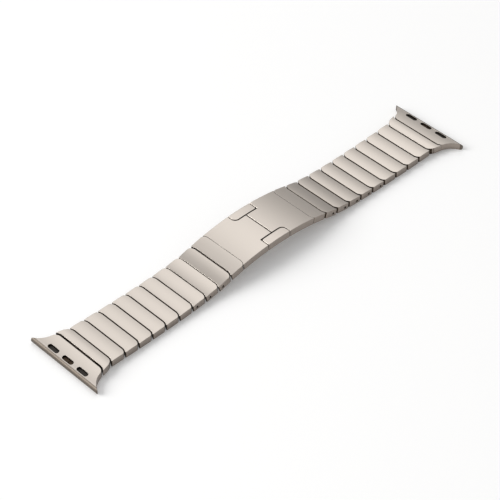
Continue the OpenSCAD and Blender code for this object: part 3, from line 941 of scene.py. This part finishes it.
@dataclass
class Clasp:
    """The two covers with their ends and the push buttons, all bent to one arc."""

    strand: Strand
    palette: Palette
    line: HingeLine
    radius: float = 79.25
    width: float = 17.3
    cover_half: float = 14.07
    cover_t: float = 1.05
    wall_t: float = 0.6
    middle_gap: float = 0.35
    fine_gap: float = 0.1
    button: tuple[float, float] = (8.6, 3.0)
    wide_round: float = 1.5
    tight_round: float = 0.5
    button_gap: float = 0.25
    travel: float = 0.3
    catch: tuple[float, float] = (1.95, 3.3)
    catch_t: float = 0.25
    pin_x: float = 0.9
    arm_room: tuple[float, float] = (0.71, 6.8)
    knuckle: tuple[float, float, float] = (0.62, 1.2, 4.0)
    pin_bore: tuple[float, float] = (0.36, 10.2)
    head: float = 1.7
    skin: float = 0.7
    key: tuple[float, float, float] = (1.35, 0.35, 1.1)
    hook: float = 1.1
    seam_shade_from: float = 12.0

    @property
    def seam(self) -> float:
        """Length of the flat top from the clasp's middle to the fine seam."""
        return self.radius * asin(self.cover_half / self.radius)

    @property
    def hinge_r(self) -> float:
        """Radius of the arc through the first hinge lines."""
        return self.radius - self.strand.top + self.strand.crown / 2

    @property
    def first_turn(self) -> float:
        """Angle from the clasp's middle to the first hinge line."""
        return asin(self.line.points[0][0] / self.hinge_r)

    @property
    def centre(self) -> float:
        """Height of the arc's centre."""
        return self.line.points[0][1] - self.hinge_r * cos(self.first_turn)

    def bent(self, x: Array, y: Array, z: Array) -> Points:
        """Bends flat points, X running along the top and Z up from it, to the clasp's arc."""
        angle, radius = x / self.radius, self.radius + z
        return radius * np.sin(angle), y, radius * np.cos(angle) + self.centre

    @staticmethod
    def rows(low: float, high: float) -> list[float]:
        """Gives places about a millimetre apart between two ends."""
        count = max(2, round(high - low))
        return [low + (high - low) * k / count for k in range(1, count)]

    @staticmethod
    def corner(x: float, y: float, radius: float, start: int, turn: int, steps: int = 8) -> Outline:
        """Gives an arc about a point, from a start angle over a turn, both in degrees."""
        angles = [radians(start + turn * k / steps) for k in range(steps + 1)]
        return [(x + radius * cos(a), y + radius * sin(a)) for a in angles]

    def cover_outline(self) -> Outline:
        """Gives the outline of the right cover, with its share of both button notches."""
        s, w = self.strand, self.width / 2
        back = s.seam.edge(w, self.fine_gap, self.seam - s.seam.front, lambda x: w, -0.5)
        notch_x = self.button[0] / 2 + self.button_gap
        notch_y = w - self.button[1] - self.travel - 0.05
        wide = self.wide_round + self.button_gap
        near = self.corner(notch_x - wide, -notch_y - wide, wide, 90, -90)
        far = self.corner(notch_x - 0.05, notch_y + 0.05, 0.05, 0, -90, 3)
        middle = self.middle_gap / 2
        return ([(middle, -notch_y)] + near + [(notch_x, -w)] + back
                + [(notch_x, w)] + far + [(middle, notch_y)])

    def round_wing(self, piece: Piece, near_seam: Test) -> None:
        """Rounds the rims of a flat part of a wing, hardly any at the foot and on the fine seam."""
        w, top = self.width / 2 - 0.05, at_top(0)
        fine = lambda e: near_seam(e) & (np.abs(e[:, :, 1]) < w).any(axis=1)
        Bench.round_edges(piece, FINE, lambda e: top(e) & fine(e), 2)
        Bench.round_edges(piece, self.strand.rim, lambda e: top(e) & ~fine(e))
        Bench.round_edges(piece, FINE, at_foot(-self.strand.thickness), 2)

    def cover(self) -> Piece:
        """Shapes the right-hand cover: top plate, side walls, knuckles and catches."""
        w, deep = self.width / 2, self.strand.thickness
        piece = Bench.plate("cover", self.cover_outline(), -deep, 0)
        self.round_wing(piece, lambda e: (e[:, :, 0] > self.seam - 0.3).all(axis=1))
        hollow = w - self.wall_t
        Bench.carve(piece, Bench.block((-2, -hollow, -deep - 1), (20, hollow, -self.cover_t)))
        Bench.saw(piece, self.rows(0.2, self.seam + 0.8))
        low, high = self.catch
        catch_y = w - self.button[1] - 0.7
        for sign in (-1, 1):
            ys = sorted((sign * catch_y, sign * (catch_y + self.catch_t)))
            Bench.fuse(piece, Bench.block((low, ys[0], -1.37), (high, ys[1], 0.05 - self.cover_t)))
        Bench.form(piece, self.bent)
        x, room = self.pin_x, self.arm_room[1] / 2
        z = sqrt((self.radius - self.cover_t - 0.04) ** 2 - x ** 2) + self.centre
        Bench.carve(piece, Bench.rod(*self.arm_room, (x, 0, z)),
                    Bench.block((x - 2, -room, z - 2), (x, room, z + 0.5)))
        radius, length, y = self.knuckle
        for sign in (-1, 1):
            Bench.fuse(piece, Bench.rod(radius, length, (x, sign * y, z)))
        Bench.carve(piece, Bench.rod(*self.pin_bore, (x, 0, z)))
        paints = self.palette
        # Painted shade: darker side walls, and dark walls at the fine seam near the cover's end.
        paints.dress_with_painted_wall_shade(piece)
        paints.paint(piece, paints.gap, lambda c, n: n.x > paints.ALONG
                     and n.z < paints.SEAM_UPRIGHT and c.x > self.seam_shade_from)
        Bench.smooth(piece)
        return piece

    def cover_end(self) -> Piece:
        """Shapes the right-hand end of a wing, which carries the first link."""
        s, w = self.strand, self.width / 2
        first = self.radius * self.first_turn
        side = lambda x: w
        outline = s.seam.edge(w, s.seam.gap, first, side, s.seam.horn)
        outline += s.seam.edge(w, 0.0, self.seam - s.seam.front, side, s.seam.shoulder)[::-1]
        piece = Bench.plate("cover_end", outline, -s.thickness, 0)
        self.round_wing(piece, lambda e: (e[:, :, 0] < self.seam + 1.4).all(axis=1))
        Bench.saw(piece, self.rows(self.seam, first + s.seam.front + 0.6))
        Bench.form(piece, self.bent)
        x, z = self.line.points[0]
        hinge = Matrix.Translation((x, 0, z)) @ Matrix.Rotation(self.first_turn, 4, "Y")
        pocket = s.pocket()
        pocket.data.transform(hinge)
        reach = 2 * (w - s.blind)
        Bench.carve(piece, pocket, Bench.rod(s.bore_r, reach, hinge.translation))
        # finish paints shade: darker side walls and dark walls along both seams.
        self.palette.finish(piece, Bench.rod(s.pin_r, reach - s.pin_play, hinge.translation))
        return piece

    def push_button(self) -> Piece:
        """Shapes the near push button: head, outer wall, guide key and two latch hooks."""
        x, w = self.button[0] / 2, self.width / 2
        inner, wide, tight = self.button[1] - w, self.wide_round, self.tight_round
        outline = [(-x, -w), (x, -w)] + self.corner(x - wide, inner - wide, wide, 0, 90)
        outline += self.corner(tight - x, inner - tight, tight, 90, 90, 5)
        piece = Bench.plate("push_button", outline, -self.head, 0)
        Bench.round_edges(piece, 0.12, at_top(0))
        low, high, half = inner - self.key[0], inner - self.key[1], self.key[2]
        Bench.saw(piece, [self.skin - w, low, high], axis=1)
        Bench.saw(piece, [-3.2, -2.2, -half, 0, half, 2.2, 3.2])
        under = lambda f: (f[:, 1, 2] < -0.9) & (f[:, 0, 2] < NEAR - self.head)
        Bench.pull(piece, (0, 0, self.head - self.strand.thickness),
                   lambda f: under(f) & (f[:, 0, 1] < self.skin - w))
        Bench.pull(piece, (0, 0, -0.6), lambda f: under(f) & (np.abs(f[:, 0, 0]) < half)
                   & (f[:, 0, 1] > low) & (f[:, 0, 1] < high))
        tip = inner + self.hook
        for sign in (-1, 1):
            low, high = sorted(sign * x for x in self.catch)
            Bench.fuse(piece, Bench.block((low, inner - 0.2, -self.head), (high, tip, -1.45)),
                       Bench.block((low, inner + 0.9, NEAR - self.head), (high, tip, -1.15)))
        Bench.form(piece, self.bent)
        # Painted shade: darker side walls on the button.
        self.palette.dress_with_painted_wall_shade(piece)
        Bench.smooth(piece)
        return piece

    def build(self) -> None:
        """Shapes the right half and the near button, and sets a copy in each place."""
        cover, end, button = self.cover(), self.cover_end(), self.push_button()
        for half in Half:
            for pattern, part in ((cover, "cover"), (end, "cover_end")):
                name = f"{half.value}_{part}"
                piece = Bench.copy(pattern, f"{name}_satin")
                Bench.place(piece, half.turn, f"{half.value}_wing", name)
        for side, half in (("near", Half.RIGHT), ("far", Half.LEFT)):
            piece = Bench.copy(button, f"push_button_{side}")
            Bench.place(piece, half.turn, f"button_{side}", f"clasp_button_{side}")
        Bench.scrap(cover, end, button)


@dataclass
class Fittings:
    """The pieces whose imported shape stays: the clasp's works, pins, springs, detents and pads."""

    palette: Palette

    def material(self, name: str) -> Material:
        """Chooses the finish of a node by its name."""
        if "pads" in name:
            return self.palette.rubber
        # Detents get the dark gap metal: painted shade inside the windows.
        if name.endswith("_detent"):
            return self.palette.gap
        if name == "clasp_base" or name.endswith("_arm") or "release" in name:
            return self.palette.inner
        return self.palette.steel

    def build(self, nodes: dict[str, Piece]) -> None:
        """Dresses each node that still shows."""
        for name, node in nodes.items():
            if not node.hide_render:
                self.palette.dress(node, self.material(name))
                log.info("%s: dressed as %s", name, node.data.materials[0].name)


@dataclass(frozen=True)
class Softbox:
    """A large soft lamp that faces the bracelet."""

    name: str
    place: Place
    size: tuple[float, float]
    power: float
    colour: Colour

    def build(self) -> None:
        """Hangs the lamp."""
        Bench.put_down()
        bpy.ops.object.light_add(type="AREA", location=self.place)
        lamp = bpy.context.object
        lamp.name = self.name
        lamp.rotation_euler = (-Vector(self.place)).to_track_quat("-Z", "Y").to_euler()
        lamp.data.shape, lamp.data.size, lamp.data.size_y = "RECTANGLE", *self.size
        lamp.data.energy, lamp.data.color = self.power, self.colour


@dataclass(frozen=True)
class Sky:
    """Even light from all round, with a broad bright patch."""

    even: float = 0.438
    patch: float = 1.45
    focus: float = 16.6
    towards: Place = (0.423, 0.419, 0.803)

    def build(self) -> None:
        """Wires the sky."""
        world = bpy.data.worlds.new("studio")
        wiring = Wiring(world, "BACKGROUND")
        view = wiring.node("ShaderNodeTexCoord", out="Generated")
        facing = wiring.node("ShaderNodeVectorMath", {"operation": "DOT_PRODUCT"},
                             {0: view, 1: self.towards}, out="Value")
        facing = wiring.node("ShaderNodeMath", {"operation": "MAXIMUM"}, {0: facing, 1: 0.0})
        wiring.set(Color=(1.0, 1.0, 1.0, 1.0),
                   Strength=facing ** self.focus * self.patch + self.even)
        bpy.context.scene.world = world


@dataclass(frozen=True)
class Studio:
    """The pale table, the soft light round it and the camera."""

    azimuth: float = -44.105
    elevation: float = 42.635
    distance: float = 0.5721
    target: Place = (-0.00461, -0.00103, 0.0)
    lens: float = 139.24
    sky: Sky = Sky()
    key: Softbox = Softbox("key_softbox", (-1.2, 1.1, 1.1), (1.29, 1.29), 30.6, (1.0, 0.995, 0.985))

    def table(self) -> None:
        """Lays the table under the bracelet."""
        Bench.put_down()
        bpy.ops.mesh.primitive_grid_add(x_subdivisions=2, y_subdivisions=2, size=6)
        table = bpy.context.object
        table.name = table.data.name = "table"
        Palette.dress(table, PaleTable("pale_table").material())

    def camera(self) -> None:
        """Sets up the camera."""
        turn, rise = radians(self.azimuth), radians(self.elevation)
        back = Vector((sin(turn) * cos(rise), -cos(turn) * cos(rise), sin(rise)))
        Bench.put_down()
        bpy.ops.object.camera_add(
            location=Vector(self.target) + back * self.distance, rotation=(pi / 2 - rise, 0, turn))
        camera = bpy.context.object
        camera.data.lens, camera.data.sensor_width = self.lens, 36.0
        camera.data.sensor_fit, camera.data.clip_start = "HORIZONTAL", 0.01
        bpy.context.scene.camera = camera

    def build(self) -> None:
        """Sets up the whole studio."""
        self.camera()
        self.table()
        self.sky.build()
        self.key.build()
        bpy.context.scene.view_settings.view_transform = "Standard"


def main() -> None:
    """Builds the bracelet and the studio."""
    logging.basicConfig(level=logging.INFO, format="%(message)s")
    strand, palette = Strand(), Palette()
    lines = {half: HingeLine.read(half, frame["joints"]) for half in Half}
    Studio().build()
    Links(strand, palette).build(lines)
    EndPieces(strand, palette).build(lines)
    Clasp(strand, palette, lines[Half.RIGHT]).build()
    Fittings(palette).build(frame["nodes"])


if __name__ == "__main__":
    main()
